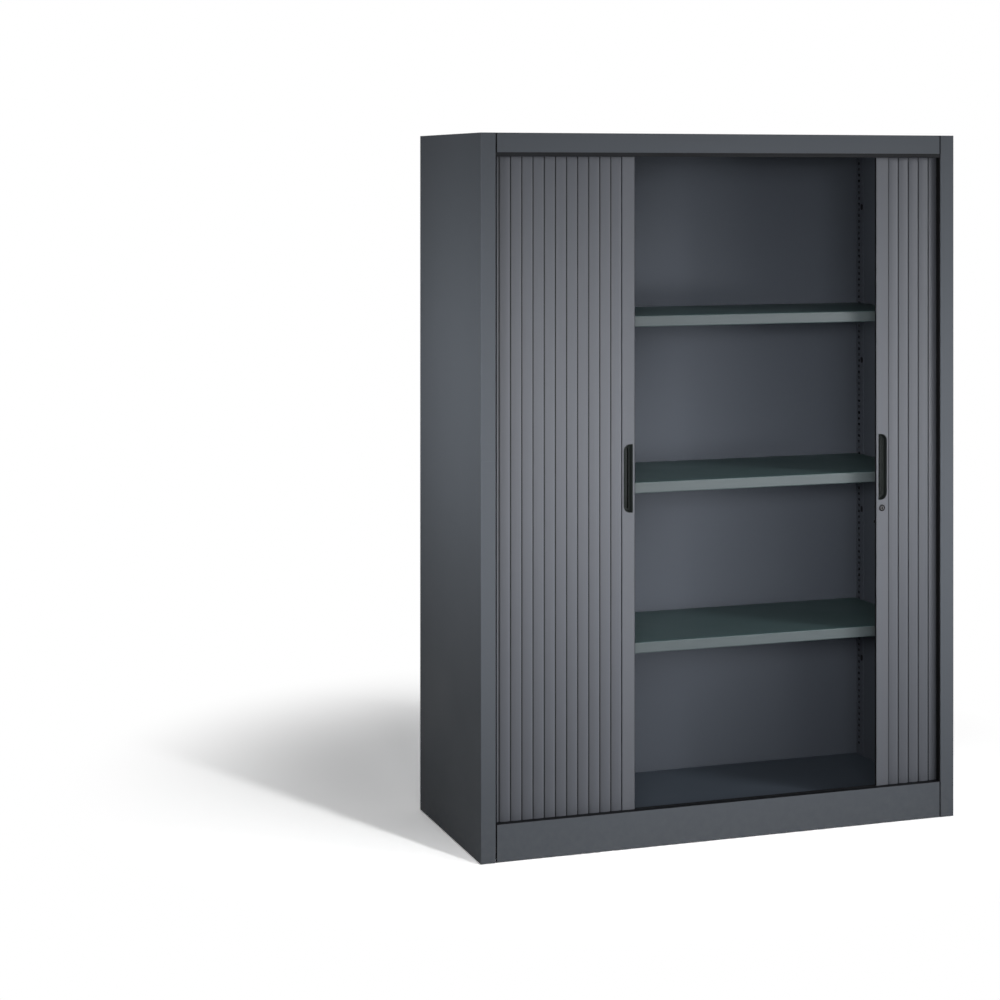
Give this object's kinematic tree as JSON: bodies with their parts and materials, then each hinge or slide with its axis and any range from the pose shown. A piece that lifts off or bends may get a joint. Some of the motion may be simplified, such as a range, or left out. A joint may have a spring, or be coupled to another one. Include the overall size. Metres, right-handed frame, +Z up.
{
  "type": "roll front tool cabinet",
  "caption": "Grey powder-coated steel cabinet with two silver-grey sideways roller shutters, black recessed grips, a cylinder lock, three folded steel shelves on slotted uprights and four levelling feet.",
  "frame": {"origin": "middle of the footprint at the level of the feet's undersides", "axes": "+X to the right and +Y to the back seen from the front, +Z up; the front faces -Y"},
  "size_m": [1.2, 0.47, 1.64],
  "materials": {
    "panel_sheet": "powder-coated mid grey, fine orange peel, satin",
    "liner_sheet": "powder-coated mid grey inside, satin",
    "shelf_sheet": "powder-coated mid grey, satin",
    "slat_plastic": "silver-grey extruded plastic, satin",
    "black_plastic": "black moulded plastic, matte",
    "black_seal": "black foam-rubber strip",
    "nylon": "black nylon",
    "zinc_steel": "zinc-plated",
    "lock_metal": "nickel-plated, worn",
    "foot_plastic": "black, matte"
  },
  "bodies": {
    "cabinet": {"left_side_panel": "panel_sheet", "right_side_panel": "panel_sheet", "top_cover": "panel_sheet", "plinth": "panel_sheet", "outer_back": "panel_sheet", "foot_beams": "panel_sheet", "base_pan": "liner_sheet", "ceiling": "liner_sheet", "left_liner": "liner_sheet", "right_liner": "liner_sheet", "back_liner": "liner_sheet", "left_front_upright": "liner_sheet", "right_front_upright": "liner_sheet", "left_rear_upright": "liner_sheet", "right_rear_upright": "liner_sheet", "shelf_1": "shelf_sheet", "shelf_2": "shelf_sheet", "shelf_3": "shelf_sheet", "wall_plugs": "black_plastic", "lower_front_tracks": "black_plastic", "upper_front_tracks": "black_plastic", "lower_corner_tracks": "black_plastic", "upper_corner_tracks": "black_plastic", "lower_side_tracks": "black_plastic", "upper_side_tracks": "black_plastic", "lower_rear_tracks": "black_plastic", "upper_rear_tracks": "black_plastic", "left_edge_seal": "black_seal", "right_edge_seal": "black_seal", "track_buffers": "black_seal", "shelf_1_clips": "zinc_steel", "shelf_2_clips": "zinc_steel", "shelf_3_clips": "zinc_steel", "foot_bushes": "zinc_steel", "back_screws": "zinc_steel"},
    "left_shutter": {"left_front_slats": "slat_plastic", "left_pocket_slats": "slat_plastic", "left_leading_slat": "slat_plastic", "left_lead_seal": "black_seal", "left_runners": "nylon", "left_grip": "black_plastic", "strike": "zinc_steel"},
    "right_shutter": {"right_front_slats": "slat_plastic", "right_pocket_slats": "slat_plastic", "right_leading_slat": "slat_plastic", "right_lead_seal": "black_seal", "right_runners": "nylon", "right_grip": "black_plastic", "lock_housing": "lock_metal", "lock_nut": "zinc_steel"},
    "lock_cam_unit": {"lock_plug": "lock_metal", "lock_cam": "zinc_steel", "cam_screw": "zinc_steel"},
    "front_left_foot_unit": {"front_left_foot": "foot_plastic"},
    "front_right_foot_unit": {"front_right_foot": "foot_plastic"},
    "rear_left_foot_unit": {"rear_left_foot": "foot_plastic"},
    "rear_right_foot_unit": {"rear_right_foot": "foot_plastic"}
  },
  "joints": [
    {"name": "left_shutter_slide", "type": "slide", "parent": "cabinet", "child": "left_shutter", "axis": [-1, 0, 0], "range_m": [-0.2195, 0.284], "deforming": ["left_front_slats", "left_pocket_slats"]},
    {"name": "right_shutter_slide", "type": "slide", "parent": "cabinet", "child": "right_shutter", "axis": [1, 0, 0], "range_m": [-0.3995, 0.104], "deforming": ["right_front_slats", "right_pocket_slats"]},
    {"name": "lock_turn", "type": "hinge", "parent": "right_shutter", "child": "lock_cam_unit", "pos_m": [0.4155, -0.1967, 0.75], "axis": [0, 1, 0], "range_deg": [0, 90]},
    {"name": "front_left_foot_height", "type": "slide", "parent": "cabinet", "child": "front_left_foot_unit", "axis": [0, 0, -1], "range_m": [0, 0.012]},
    {"name": "front_right_foot_height", "type": "slide", "parent": "cabinet", "child": "front_right_foot_unit", "axis": [0, 0, -1], "range_m": [0, 0.012]},
    {"name": "rear_left_foot_height", "type": "slide", "parent": "cabinet", "child": "rear_left_foot_unit", "axis": [0, 0, -1], "range_m": [0, 0.012]},
    {"name": "rear_right_foot_height", "type": "slide", "parent": "cabinet", "child": "rear_right_foot_unit", "axis": [0, 0, -1], "range_m": [0, 0.012]}
  ]
}
